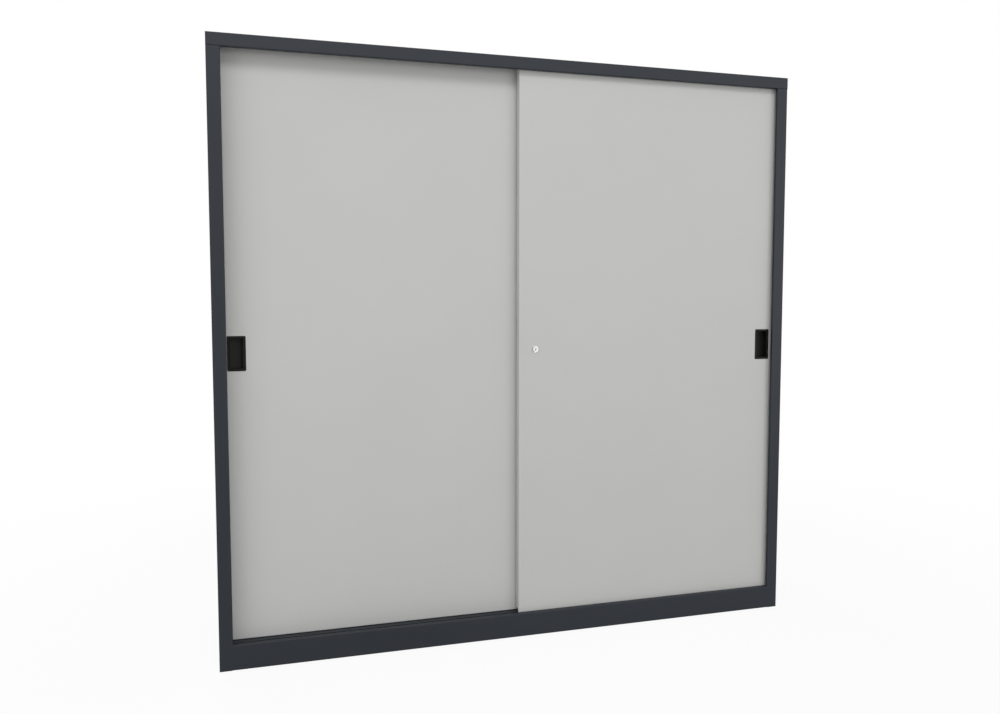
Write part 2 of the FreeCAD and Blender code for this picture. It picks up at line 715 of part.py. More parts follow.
def make_roller_forks(label, side, lane):
    """The two folded brackets over a door's rollers, fixed in its bottom edge."""
    left, right = in_door(side, "wheel_in")
    body = new_body(label, left, lane, "door_low + steel")
    path = [("-fork - fork_foot", "plate"), ("-fork", "plate"), ("-fork", "fork_rise"),
            ("fork", "fork_rise"), ("fork", "plate"), ("fork + fork_foot", "plate")]
    holes = front_view(body)
    for x in ("0", f"{right} - {left}"):
        section = end_view(body, x)
        strip(section, path, -1, "plate")
        pad(body, section, "fork_length", centred=True)
        circle(holes, x, f"{wheel_height} - door_low - steel", "pin + running / 2")
    cut(body, holes, "2 * fork")


def make_roller(label, x, lane):
    """A nylon roller, bored for its pin."""
    body = new_body(label, x, lane, wheel_height)
    bore = "pin + running"
    turned(body, [(bore, "-tread"), ("wheel", "-tread"), ("wheel", "tread"), (bore, "tread")])


def make_roller_pins(label, side, lane):
    """The pins of a door's two rollers, riveted in the forks."""
    left, right = in_door(side, "wheel_in")
    body = new_body(label, left, lane, wheel_height)
    end = "(fork + edge)"
    pin = turned(body, [("0", f"-{end}"), ("pin", f"-{end}"), ("pin", end), ("0", end)])
    repeat(body, pin, ("X_Axis", 2, f"{right} - {left}"))


def make_guide(label, x, lane):
    """A nylon block that runs in the guide lane, on a plug set in the door's top edge."""
    body = new_body(label, x, lane, "door_high")
    block = plan_view(body)
    lead, slim = "(guide - guide_lead)", "(guide_wide - guide_lead)"
    polygon(block, [("-guide", f"-{slim}"), (f"-{lead}", "-guide_wide"),
                    (lead, "-guide_wide"), ("guide", f"-{slim}"), ("guide", slim),
                    (lead, "guide_wide"), (f"-{lead}", "guide_wide"), ("-guide", slim)])
    pad(body, block, "guide_rise")
    plug = plan_view(body)
    rectangle(plug, "-plug", "-plug_wide", "plug", "plug_wide")
    pad(body, plug, "plug_deep", backwards=True)


def make_door(name, side, face, lane):
    """A door with its fittings. It gives back the panel, for the openings of the lock."""
    panel = make_door_panel(f"{name}_panel", side, face)
    make_stiffener(f"{name}_stiffener", side, face)
    make_handle(f"{name}_handle", side, face)
    make_roller_forks(f"{name}_roller_forks", side, lane)
    make_roller_pins(f"{name}_roller_pins", side, lane)
    for end, roller_x, guide_x in zip(("left", "right"), in_door(side, "wheel_in"),
                                      in_door(side, "guide_in")):
        make_roller(f"{name}_roller_{end}", roller_x, lane)
        make_guide(f"{name}_guide_{end}", guide_x, lane)
    return panel


# Lock. Its pieces share one axis, which runs back from the front door's face.

def new_lock_body(label):
    return new_body(label, "lock_in - overlap", "recess", "lock_height")


def make_lock_housing():
    """A barrel with a front ring. The plunger runs in it, and the bolt leaves behind."""
    bore, bolt_bore = "plunger + running", "bolt + running"
    rear = "barrel_end - plate"
    turned(new_lock_body("lock_housing"), [
        (bore, "-steel"), ("rosette", "-steel"), ("rosette", "0"), ("barrel", "0"),
        ("barrel", "barrel_end"), (bolt_bore, "barrel_end"), (bolt_bore, rear), (bore, rear)])


def make_lock_nut():
    """A thin hexagon nut that holds the housing behind the door's skin."""
    body = new_lock_body("lock_nut")
    outline = front_view(body, "steel")
    hexagon(outline, "0", "0", "nut")
    circle(outline, "0", "0", "barrel + running")
    pad(body, outline, "4 * steel", backwards=True)


def make_lock_plunger():
    """The sliding cylinder, turned in one piece with the bolt behind it."""
    bore, floor = "core + running", "shoulder - 2 * steel"
    turned(new_lock_body("lock_plunger"), [
        (bore, "-proud"), ("plunger", "-proud"), ("plunger", "shoulder"), ("bolt", "shoulder"),
        ("bolt", "bolt_end"), ("0", "bolt_end"), ("0", floor), (bore, floor)])


def make_lock_plug():
    """The round core that the key turns, with an upright keyway."""
    body = new_lock_body("lock_plug")
    face, floor = "-proud", "shoulder - 2 * steel - gap"
    turned(body, [("0", face), ("core", face), ("core", floor), ("0", floor)])
    keyway = front_view(body, face)
    rectangle(keyway, "-keyway", "-keyway_tall", "keyway", "keyway_tall")
    cut(body, keyway, "keyway_deep")


def make_lock_spring():
    """The spring that pushes the plunger out, wound round the bolt."""
    length = value("barrel_end - plate - shoulder")
    wire, radius = value("wire"), value("coil")
    steps = 12
    climb = (length - wire) / (coils * steps)
    points = []
    for i in range(coils * steps + 1):
        angle = 2 * math.pi * i / steps
        points.append(Vector(radius * math.cos(angle), i * climb, radius * math.sin(angle)))
    across, up = Vector(wire / 2, 0, 0), Vector(0, wire / 2, 0)
    section = [points[0] - across - up, points[0] + across - up, points[0] + across + up,
               points[0] - across + up, points[0] - across - up]
    right_corners = 1
    spring = doc.addObject("Part::Feature", "lock_spring")
    spring.Label = "lock_spring"
    spring.Shape = Part.Wire(Part.makePolygon(points)).makePipeShell(
        [Part.Wire(Part.makePolygon(section))], True, True, right_corners)
    for axis, formula in (("x", "lock_in - overlap"), ("z", "lock_height"),
                          ("y", "recess + shoulder + wire / 2 - depth / 2")):
        spring.setExpression(f"Placement.Base.{axis}", bound(formula))
    pieces.append(spring)


def make_lock_keeper():
    """A folded catch, welded to the rear door's edge and slotted for the bolt."""
    body = new_body("lock_keeper", "overlap", z="lock_height")
    section = plan_view(body, "-keeper_tall")
    strip(section, [("0", "keeper_front + keeper_deep"), ("0", "keeper_front"),
                    ("keeper_long", "keeper_front")], 1, "plate")
    pad(body, section, "2 * keeper_tall")
    slot = front_view(body, "keeper_front")
    axis = "(lock_in - 2 * overlap)"
    rectangle(slot, f"{axis} - core", "-core", f"{axis} + core", "keeper_tall + over")
    cut(body, slot, "2 * plate")


# The cabinet

for side, name in ((-1, "left"), (1, "right")):
    make_side_panel(f"side_panel_{name}", side)
    make_back_panel(f"back_panel_{name}", side)
    make_corner_gusset(f"corner_gusset_{name}", side)
    make_partition_skin(f"partition_skin_{name}", side)
    make_shelf_rail(f"shelf_rail_{name}_front", side, "0")
    make_shelf_rail(f"shelf_rail_{name}_rear", side, "column_step")
    for number in range(1, shelf_count + 1):
        make_shelf(f"shelf_{name}_{number}", side, number)
make_top_panel()
make_floor_panel()
make_plinth_front()
make_floor_bearer()
make_shelf_clips()
make_roller_track()
make_guide_channel()
make_opening_stop("opening_stop_front", -1, front_lane)
make_opening_stop("opening_stop_rear", 1, rear_lane)
make_closing_buffers()

make_door("rear_door", -1, rear_recess, rear_lane)
front_panel = make_door("front_door", 1, "recess", front_lane)

make_lock_housing()
make_lock_nut()
make_lock_plunger()
make_lock_plug()
make_lock_spring()
make_lock_keeper()
lock_hole = front_view(front_panel)
circle(lock_hole, "lock_in - overlap", "lock_height", "barrel + 2 * running")
cut(front_panel, lock_hole, "2 * steel")

# Checks, then one file for each piece
doc.recompute()
faults = [part.Label for part in doc.Objects if {"Invalid", "Error"} & set(part.State)]
faults += [piece.Label for piece in pieces if piece.Shape.isNull() or not piece.Shape.isValid()]
if faults:
    raise SystemExit("these do not build: " + ", ".join(faults))

os.makedirs("parts", exist_ok=True)
for piece in pieces:
    piece.Shape.exportStep(f"parts/{piece.Label}.step")
print(f"{len(pieces)} pieces written")
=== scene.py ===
import json
import math
from functools import reduce
import bmesh
import bpy
from mathutils import Matrix, Vector


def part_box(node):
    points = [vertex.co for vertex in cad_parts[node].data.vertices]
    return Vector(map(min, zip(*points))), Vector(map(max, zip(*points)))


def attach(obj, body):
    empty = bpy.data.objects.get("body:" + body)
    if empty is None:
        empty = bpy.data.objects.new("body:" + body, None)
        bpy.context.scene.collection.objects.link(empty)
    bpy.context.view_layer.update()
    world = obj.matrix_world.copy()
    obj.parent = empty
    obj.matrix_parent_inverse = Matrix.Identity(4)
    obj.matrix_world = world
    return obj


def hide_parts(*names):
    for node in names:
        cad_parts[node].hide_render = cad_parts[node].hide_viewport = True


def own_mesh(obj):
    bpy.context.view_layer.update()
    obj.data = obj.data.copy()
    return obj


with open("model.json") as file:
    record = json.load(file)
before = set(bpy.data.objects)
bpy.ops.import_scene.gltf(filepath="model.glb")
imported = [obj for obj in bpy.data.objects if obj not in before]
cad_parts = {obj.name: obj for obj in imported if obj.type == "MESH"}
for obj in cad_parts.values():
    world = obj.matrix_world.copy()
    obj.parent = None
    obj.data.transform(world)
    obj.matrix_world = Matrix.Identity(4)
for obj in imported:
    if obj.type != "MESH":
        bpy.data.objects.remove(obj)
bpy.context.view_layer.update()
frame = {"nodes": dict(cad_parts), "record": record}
nodes = frame["nodes"]
behaviour = frame["record"]["behaviour"]
bodyOf = {node: body for body, members in behaviour["bodies"].items() for node in members}
slotOf = {part["node"]: part["material_slot"] for part in frame["record"]["subparts"]}
leftRails = ("shelf_rail_left_front", "shelf_rail_left_rear")  # the right ones stand across
print("frame loaded,", len(nodes), "nodes")


# Node trees written as sums

def pick(sockets, name):
    # by its place, where two sockets have one name, or else by its name among those in use
    if isinstance(name, int):
        return sockets[name]
    return next(socket for socket in sockets if socket.name == name and socket.enabled)


def feed(socket, value):
    if isinstance(value, Wire):
        socket.id_data.links.new(value.socket, socket)
    else:
        socket.default_value = value


class Wire:
    # an output socket that sums can be written with

    def __init__(self, socket):
        self.socket = socket

    def combine(self, operation, first, second):
        node = self.socket.id_data.nodes.new("ShaderNodeMath")
        node.operation = operation
        feed(node.inputs[0], first)
        feed(node.inputs[1], second)
        return Wire(node.outputs[0])

    def __add__(self, other):
        return self.combine("ADD", self, other)

    def __radd__(self, other):
        return self.combine("ADD", other, self)

    def __sub__(self, other):
        return self.combine("SUBTRACT", self, other)

    def __rsub__(self, other):
        return self.combine("SUBTRACT", other, self)

    def __mul__(self, other):
        return self.combine("MULTIPLY", self, other)

    def __rmul__(self, other):
        return self.combine("MULTIPLY", other, self)

    def __pow__(self, other):
        return self.combine("POWER", self, other)

    def __rpow__(self, other):
        return self.combine("POWER", other, self)

    def __abs__(self):
        return self.combine("ABSOLUTE", self, 0.0)

    def larger(self, other):
        return self.combine("MAXIMUM", self, other)

    def smaller(self, other):
        return self.combine("MINIMUM", self, other)

    def fromNearest(self, pitch):
        # how far the value is from the nearest multiple of a pitch
        return self.combine("PINGPONG", self, pitch / 2)

    def swing(self, amount):
        # a pattern of 0 to 1 as a swing of half the amount to either side of nothing
        return (self - 0.5) * amount


class Finish:
    # a node tree, a material's unless another is given

    def __init__(self, name, tree=None):
        if tree is None:
            self.material = bpy.data.materials.new(name)
            self.material.use_nodes = True
            tree = self.material.node_tree
        self.tree = tree
        self.tree.nodes.clear()

    def add(self, kind, settings=None, inputs=None, outputs=()):
        # gives the one output that is asked for, or a list of them
        node = self.tree.nodes.new(kind)
        for name, value in (settings or {}).items():
            setattr(node, name, value)
        for name, value in (inputs or {}).items():
            feed(pick(node.inputs, name), value)
        if isinstance(outputs, str):
            return Wire(pick(node.outputs, outputs))
        return [Wire(pick(node.outputs, name)) for name in outputs]

    def place(self):
        return self.add("ShaderNodeTexCoord", outputs="Object")

    def noise(self, where, scale, detail):
        return self.add("ShaderNodeTexNoise", None,
                        {"Vector": where, "Scale": scale, "Detail": detail}, "Fac")

    def cells(self, where, scale, output):
        return self.add("ShaderNodeTexVoronoi", {"feature": "F1"},
                        {"Vector": where, "Scale": scale}, output)

    def length(self, vector):
        return self.add("ShaderNodeVectorMath", {"operation": "LENGTH"}, {0: vector}, "Value")

    def ease(self, value, start, end, low, high):
        # low up to the start, high from the end on, and a smooth step between them
        return self.add("ShaderNodeMapRange", {"interpolation_type": "SMOOTHSTEP"},
                        {"Value": value, "From Min": start, "From Max": end,
                         "To Min": low, "To Max": high}, "Result")

    def blend(self, factor, first, second):
        return self.add("ShaderNodeMix", {"data_type": "RGBA"},
                        {"Factor": factor, "A": first, "B": second}, "Result")

    def tint(self, tone, colour, darkest, lightest):
        # the colour times darkest where the tone is 0, up to times lightest where it is 1
        first, second = (tuple(part * amount for part in colour) + (1.0,)
                         for amount in (darkest, lightest))
        return self.blend(tone, first, second)

    def bump(self, height, depth, strength=1.0, below=None):
        inputs = {"Height": height, "Distance": depth, "Strength": strength}
        if below:
            inputs["Normal"] = below
        return self.add("ShaderNodeBump", None, inputs, "Normal")

    def mixShaders(self, factor, first, second):
        return self.add("ShaderNodeMixShader", None, {0: factor, 1: first, 2: second}, "Shader")

    def surface(self, inputs):
        shader = self.add("ShaderNodeBsdfPrincipled", None, inputs, "BSDF")
        self.add("ShaderNodeOutputMaterial", None, {"Surface": shader})
        return self.material


# Spot welds: rows of shallow round prints, whose flat and rim are radii

welds = {"pitch": 0.15, "flat": 0.0014, "rim": 0.0040, "depth": 0.0006, "fromEdge": 0.0095,
         "fromTop": 0.0100, "fromMiddle": 0.0060, "fromRailEdge": 0.0050}


def weldPrint(across, along):
    # the distance from the nearest print of a row
    near = along.fromNearest(welds["pitch"])
    return (across * across + near * near) ** 0.5


def backSeams(x, y, z):
    # the back is welded to the side walls, the centre wall, the roof and the floor
    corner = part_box("back_panel_right")[1]
    floorLow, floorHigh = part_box("floor_panel")
    rows = [weldPrint(abs(x) - (corner.x - welds["fromEdge"]), z),
            weldPrint(abs(x) - welds["fromMiddle"], z),
            weldPrint(z - (corner.z - welds["fromTop"]), x),
            weldPrint(z - (floorLow.z + floorHigh.z) / 2, x)]
    return reduce(Wire.smaller, rows)


def sideSeams(x, y, z):
    # both feet of each shelf rail are welded to the side wall
    rows = []
    for rail in leftRails:
        low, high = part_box(rail)
        for foot in (low.y + welds["fromRailEdge"], high.y - welds["fromRailEdge"]):
            rows.append(weldPrint(y - foot, z))
    return reduce(Wire.smaller, rows)


# Finishes: each pattern has its scale and detail, and each bump its depth and strength

powder = {"grain": (1500.0, 2.0), "cloud": (2.6, 3.0), "peel": (420.0, 1.0), "swell": (3.1, 1.0),
          "tint": (0.5, 1.5), "grainGloss": 0.12, "cloudGloss": 0.10, "peelDepth": 0.00002}
anthracitePaint = {"colour": (0.0167, 0.0207, 0.0281), "fleck": 0.256, "drift": 0.20,
                   "gloss": 0.46, "shine": 0.31, "swellDepth": 0.0004}
lightPaint = {"colour": (0.556, 0.559, 0.547), "fleck": 0.08, "drift": 0.06,
              "gloss": 0.50, "shine": 0.30, "swellDepth": 0.0005}


def powderCoat(name, paint, seams=None):
    # sprayed powder on sheet steel: fine flecks, orange peel, and the slow swell of a thin sheet
    finish = Finish(name)
    where = finish.place()
    grain, cloud, peel, swell = (finish.noise(where, *powder[pattern])
                                 for pattern in ("grain", "cloud", "peel", "swell"))
    tone = 0.5 + grain.swing(paint["fleck"]) + cloud.swing(paint["drift"])
    gloss = paint["gloss"] + grain.swing(powder["grainGloss"]) + cloud.swing(powder["cloudGloss"])
    skin = finish.bump(swell, paint["swellDepth"])
    skin = finish.bump(peel, powder["peelDepth"], below=skin)
    if seams:
        axes = finish.add("ShaderNodeSeparateXYZ", None, {"Vector": where}, ("X", "Y", "Z"))
        height = finish.ease(seams(*axes), welds["flat"], welds["rim"], 0.0, 1.0)
        skin = finish.bump(height, welds["depth"], below=skin)
    return finish.surface({"Base Color": finish.tint(tone, paint["colour"], *powder["tint"]),
                           "Roughness": gloss, "Normal": skin,
                           "Specular IOR Level": paint["shine"]})


pullPlastic = {"colour": (0.0085, 0.0082, 0.0076), "tint": (0.8, 1.25), "gloss": 0.42,
               "glossSwing": 0.14, "shine": 0.14, "cloud": (60.0, 3.0), "grainScale": 2600.0,
               "grainBump": (0.00003, 0.6)}


def mouldedPlastic(name, plastic):
    # black plastic with a fine eroded grain
    finish = Finish(name)
    where = finish.place()
    grain = finish.cells(where, plastic["grainScale"], "Distance")
    cloud = finish.noise(where, *plastic["cloud"])
    return finish.surface({"Base Color": finish.tint(cloud, plastic["colour"], *plastic["tint"]),
                           "Roughness": plastic["gloss"] + cloud.swing(plastic["glossSwing"]),
                           "Specular IOR Level": plastic["shine"],
                           "Normal": finish.bump(grain, *plastic["grainBump"])})


zincPlate = {"colour": (0.56, 0.57, 0.57), "tint": (0.82, 1.15), "metal": 0.9, "gloss": 0.38,
             "crystalScale": 140.0, "crystalTone": 0.35, "crystalGloss": 0.12,
             "haze": (24.0, 4.0), "hazeTone": 0.5, "hazeGloss": 0.16, "hazeBump": (0.00004, 0.5)}


def zincSteel(name, zinc):
    # zinc plate: crystals that differ a little in tone and gloss, under a soft haze
    finish = Finish(name)
    where = finish.place()
    crystal = finish.cells(where, zinc["crystalScale"], "Color")
    level = finish.add("ShaderNodeSeparateColor", None, {"Color": crystal}, "Red")
    haze = finish.noise(where, *zinc["haze"])
    tone = 0.5 + level.swing(zinc["crystalTone"]) + haze.swing(zinc["hazeTone"])
    gloss = zinc["gloss"] + level.swing(zinc["crystalGloss"]) + haze.swing(zinc["hazeGloss"])
    return finish.surface({"Base Color": finish.tint(tone, zinc["colour"], *zinc["tint"]),
                           "Roughness": gloss, "Metallic": zinc["metal"],
                           "Normal": finish.bump(haze, *zinc["hazeBump"])})


naturalNylon = {"colour": (0.72, 0.70, 0.62), "tint": (0.93, 1.05), "gloss": 0.38,
                "glossSwing": 0.12, "refraction": 1.53, "cloud": (90.0, 3.0),
                "fine": (1300.0, 2.0), "fineBump": (0.00002, 0.5)}
bufferRubber = {"colour": (0.018, 0.018, 0.019), "tint": (0.7, 1.6), "gloss": 0.74,
                "glossSwing": 0.16, "refraction": 1.5, "cloud": (120.0, 4.0),
                "fine": (1800.0, 2.0), "fineBump": (0.00005, 0.7)}


def softMoulding(name, polymer):
    # nylon or rubber: clouded tone and gloss, and a fine matt skin
    finish = Finish(name)
    where = finish.place()
    cloud = finish.noise(where, *polymer["cloud"])
    fine = finish.noise(where, *polymer["fine"])
    return finish.surface({"Base Color": finish.tint(cloud, polymer["colour"], *polymer["tint"]),
                           "Roughness": polymer["gloss"] + cloud.swing(polymer["glossSwing"]),
                           "IOR": polymer["refraction"],
                           "Normal": finish.bump(fine, *polymer["fineBump"])})


lockNickel = {"colour": (0.55, 0.545, 0.535), "tint": (0.94, 1.04), "gloss": 0.30,
              "ringScale": 5200.0, "ringDetail": 2.0, "ringGloss": 0.10,
              "ringBump": (0.000004, 0.5), "haze": (200.0, 3.0), "hazeGloss": 0.06}


def turnedNickel(name, nickel):
    # bright nickel over turned brass: rings round the lock's axis
    finish = Finish(name)
    where = finish.place()
    low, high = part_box("lock_housing")
    axis = (low + high) / 2
    centred = finish.add("ShaderNodeMapping", {"vector_type": "POINT"},
                         {"Vector": where, "Location": (-axis.x, 0.0, -axis.z)}, "Vector")
    flat = finish.add("ShaderNodeVectorMath", {"operation": "MULTIPLY"},
                      {0: centred, 1: (1.0, 0.0, 1.0)}, "Vector")
    rings = finish.add("ShaderNodeTexNoise", {"noise_dimensions": "1D"},
                       {"W": finish.length(flat), "Scale": nickel["ringScale"],
                        "Detail": nickel["ringDetail"]}, "Fac")
    haze = finish.noise(where, *nickel["haze"])
    gloss = nickel["gloss"] + rings.swing(nickel["ringGloss"]) + haze.swing(nickel["hazeGloss"])
    return finish.surface({"Base Color": finish.tint(haze, nickel["colour"], *nickel["tint"]),
                           "Roughness": gloss, "Metallic": 1.0,
                           "Normal": finish.bump(rings, *nickel["ringBump"])})


slotFinish = {
    "carcass_paint": powderCoat("anthracitePaint", anthracitePaint),
    "shelf_paint": powderCoat("shelfPaint", anthracitePaint),
    "door_paint": powderCoat("lightPaint", lightPaint),
    "pull_plastic": mouldedPlastic("pullPlastic", pullPlastic),
    "zinc_steel": zincSteel("zincSteel", zincPlate),
    "nylon": softMoulding("naturalNylon", naturalNylon),
    "stop_rubber": softMoulding("bufferRubber", bufferRubber),
    "lock_chrome": turnedNickel("lockNickel", lockNickel),
}
weldedFinish = {
    "back_panel": powderCoat("backPaint", anthracitePaint, backSeams),
    "side_panel": powderCoat("sidePaint", anthracitePaint, sideSeams),
}


def finishOf(node):
    return next((weldedFinish[start] for start in weldedFinish if node.startswith(start)),
                slotFinish[slotOf[node]])


def dress(obj, material):
    obj.data.materials.clear()
    obj.data.materials.append(material)


for node, obj in nodes.items():
    dress(obj, finishOf(node))
print("finishes made:", len(slotFinish) + len(weldedFinish))


# Pieces that take a plain solid's place, with lengths in metres and angles in degrees

shaping = {"join": 1e-6, "slack": 1e-4, "flatAngle": 0.5, "edgeAngle": 30.0, "creaseAngle": 50.0}


def roundEdges(shape, edges, width, steps, **more):
    bmesh.ops.bevel(shape, geom=edges, offset=width, offset_type="OFFSET", affect="EDGES",
                    segments=steps, profile=0.5, material=-1, **more)


def standIn(shape, node, suffix):
    # the finished shape as a piece of its own, on the node's body and in its finish
    mesh = bpy.data.meshes.new(node + suffix)
    shape.to_mesh(mesh)
    shape.free()
    mesh.shade_smooth()
    mesh.set_sharp_from_angle(angle=math.radians(shaping["creaseAngle"]))
    piece = bpy.data.objects.new(node + suffix, mesh)
    bpy.context.scene.collection.objects.link(piece)
    dress(piece, finishOf(node))
    even = piece.modifiers.new("evenShade", "WEIGHTED_NORMAL")
    even.keep_sharp = True
    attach(piece, bodyOf[node])
    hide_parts(node)
    return piece


# Rounded edges: width and steps, by a part of the node's name

softEdges = {
    "handle": (0.0007, 3), "lock_housing": (0.0003, 3), "lock_plunger": (0.0005, 3),
    "lock_plug": (0.00008, 2), "lock_nut": (0.0004, 2), "lock_keeper": (0.0003, 2),
    "closing_buffers": (0.0015, 3), "opening_stop": (0.0008, 2), "door_guide": (0.0006, 3),
    "roller_forks": (0.0004, 2), "roller_pins": (0.0006, 3), "shelf_clips": (0.0003, 2),
    "shelf_left": (0.0003, 2), "shelf_right": (0.0003, 2), "stiffener": (0.0003, 2),
    "roller_track": (0.0003, 2), "guide_channel": (0.0003, 2), "back_panel": (0.0006, 2),
    "floor_bearer": (0.0003, 2), "corner_gusset": (0.0005, 2),
}


def soften(node, width, steps):
    # the same solid with its edges rounded
    shape = bmesh.new()
    shape.from_mesh(nodes[node].data)
    bmesh.ops.remove_doubles(shape, verts=shape.verts, dist=shaping["join"])
    bmesh.ops.dissolve_limit(shape, angle_limit=math.radians(shaping["flatAngle"]),
                             verts=shape.verts, edges=shape.edges)
    limit = math.radians(shaping["edgeAngle"])
    sharp = [edge for edge in shape.edges
             if len(edge.link_faces) == 2 and edge.calc_face_angle() > limit]
    roundEdges(shape, sharp, width, steps, clamp_overlap=True)
    return standIn(shape, node, "_soft")


softened = [soften(node, *edge) for name, edge in softEdges.items()
            for node in nodes if name in node]
print("edges rounded on", len(softened), "pieces")


# Slotted sheets: the rails on the side walls and the skins of the centre wall

slotted = {"gauge": 0.001, "fold": 0.0015, "foldSteps": 3, "railFoot": 0.010, "slotHalf": 0.008,
           "slotTall": 0.004, "slotPitch": 0.0375, "firstSlot": 0.1055, "slotCount": 47}


def halve(shape, geometry, point, normal):
    bmesh.ops.bisect_plane(shape, geom=geometry, plane_co=point, plane_no=normal)


def stripOf(shape, column):
    # the faces between the two long edges of a column of slots, with their edges and corners
    faces = [face for face in shape.faces
             if abs(face.calc_center_median().y - column) < slotted["slotHalf"] / 2]
    edges = {edge for face in faces for edge in face.edges}
    corners = {corner for face in faces for corner in face.verts}
    return faces + list(edges) + list(corners)


def foldedSheet(path, low, high):
    # a path of x and y, drawn up from a low to a high level, with its corners rounded
    shape = bmesh.new()
    corners = [shape.verts.new((x, y, low)) for x, y in path]
    edges = [shape.edges.new(pair) for pair in zip(corners, corners[1:])]
    drawn = bmesh.ops.extrude_edge_only(shape, edges=edges)["geom"]
    upper = [part for part in drawn if isinstance(part, bmesh.types.BMVert)]
    bmesh.ops.translate(shape, verts=upper, vec=(0, 0, high - low))
    folds = [edge for edge in shape.edges if len(edge.link_faces) == 2]
    roundEdges(shape, folds, slotted["fold"], slotted["foldSteps"])
    return shape


def punchSlots(shape, column):
    levels = [slotted["firstSlot"] + i * slotted["slotPitch"] for i in range(slotted["slotCount"])]
    for edge in (column - slotted["slotHalf"], column + slotted["slotHalf"]):
        halve(shape, shape.faces[:] + shape.edges[:] + shape.verts[:], (0, edge, 0), (0, 1, 0))
    for level in levels:
        for cut in (level, level + slotted["slotTall"]):
            halve(shape, stripOf(shape, column), (0, 0, cut), (0, 0, 1))
    middles = [level + slotted["slotTall"] / 2 for level in levels]
    waste = [face for face in stripOf(shape, column) if isinstance(face, bmesh.types.BMFace)
             and min(abs(face.calc_center_median().z - middle) for middle in middles)
             < shaping["slack"]]
    bmesh.ops.delete(shape, geom=waste, context="FACES")


def slottedSheet(node, path, columns):
    low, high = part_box(node)
    shape = foldedSheet(path, low.z, high.z)
    for column in columns:
        punchSlots(shape, column)
    piece = standIn(shape, node, "_slotted")
    gauge = piece.modifiers.new("gauge", "SOLIDIFY")
    piece.modifiers.move(1, 0)
    gauge.thickness = slotted["gauge"]
    gauge.offset = 0.0
    gauge.use_even_offset = True


def sidesOf(node):
    # its x nearest to the cabinet's middle, its x furthest from it, and half a gauge outwards
    low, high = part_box(node)
    outward = math.copysign(slotted["gauge"] / 2, low.x + high.x)
    return (low.x, high.x, outward) if outward > 0 else (high.x, low.x, outward)


def slotColumn(rail):
    # the y of the slots, in the middle of a rail
    low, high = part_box(rail)
    return (low.y + high.y) / 2


def shelfRail(node):
    # a hat section with its feet on the side wall
    low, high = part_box(node)
    inner, outer, outward = sidesOf(node)
    face, foot = inner + outward, outer - outward
    step = slotted["railFoot"] + slotted["gauge"] / 2
    front, rear = low.y + step, high.y - step
    path = [(foot, low.y), (foot, front), (face, front), (face, rear), (foot, rear), (foot, high.y)]
    slottedSheet(node, path, [slotColumn(node)])


def centreSkin(node):
    # a tray that is open to the other skin, with a column of slots across from each rail
    low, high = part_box(node)
    inner, outer, outward = sidesOf(node)
    face = outer - outward
    front, rear = low.y + slotted["gauge"] / 2, high.y - slotted["gauge"] / 2
    path = [(inner, front), (face, front), (face, rear), (inner, rear)]
    slottedSheet(node, path, [slotColumn(rail) for rail in leftRails])


for node in nodes:
    if node.startswith("shelf_rail"):
        shelfRail(node)
    elif node.startswith("partition_skin"):
        centreSkin(node)
print("rails and centre wall slotted")


# Rollers: a turned nylon disc with a hub, a thinner web and a rounded tread

roller = {"hub": 0.0068, "web": 0.0160, "hollow": 0.0007, "slope": 0.0008, "round": 0.0008,
          "roundSteps": 3, "running": 0.00005, "steps": 72}


def edgeRadius(edge, centre):
    # how far the nearer end of an edge is from the roller's axis
    return min(math.hypot(end.co.x - centre.x, end.co.z - centre.z) for end in edge.verts)


def turnRoller(node):
    low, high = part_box(node)
    pinLow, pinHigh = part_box(bodyOf[node].split("_roller")[0] + "_roller_pins")
    centre, half = (low + high) / 2, (high.y - low.y) / 2
    reach, bore = (high.z - low.z) / 2, (pinHigh.z - pinLow.z) / 2 + roller["running"]
    hollow = half - roller["hollow"]
    side = [(bore, half), (roller["hub"], half), (roller["hub"] + roller["slope"], hollow),
            (roller["web"] - roller["slope"], hollow), (roller["web"], half), (reach, half)]
    outline = [(radius, -y) for radius, y in side] + side[::-1]
    shape = bmesh.new()
    corners = [shape.verts.new(centre + Vector((radius, y, 0))) for radius, y in outline]
    edges = [shape.edges.new(pair) for pair in zip(corners, corners[1:] + corners[:1])]
    bmesh.ops.spin(shape, geom=corners + edges, cent=centre, axis=(0, 1, 0),
                   angle=math.tau, steps=roller["steps"], use_merge=True)
    bmesh.ops.remove_doubles(shape, verts=shape.verts, dist=shaping["join"])
    bmesh.ops.recalc_face_normals(shape, faces=shape.faces)
    rims = [edge for edge in shape.edges if edgeRadius(edge, centre) > reach - shaping["slack"]
            and abs(edge.verts[0].co.y - edge.verts[1].co.y) < shaping["slack"]]
    roundEdges(shape, rims, roller["round"], roller["roundSteps"])
    standIn(shape, node, "_turned")


for node in nodes:
    if node.endswith(("roller_left", "roller_right")):
        turnRoller(node)


# Spring: round wire, wound round the bolt against its rear end, at its full length

spring = {"wire": 0.0009, "coils": 4, "stepsInCoil": 28, "sides": 12}


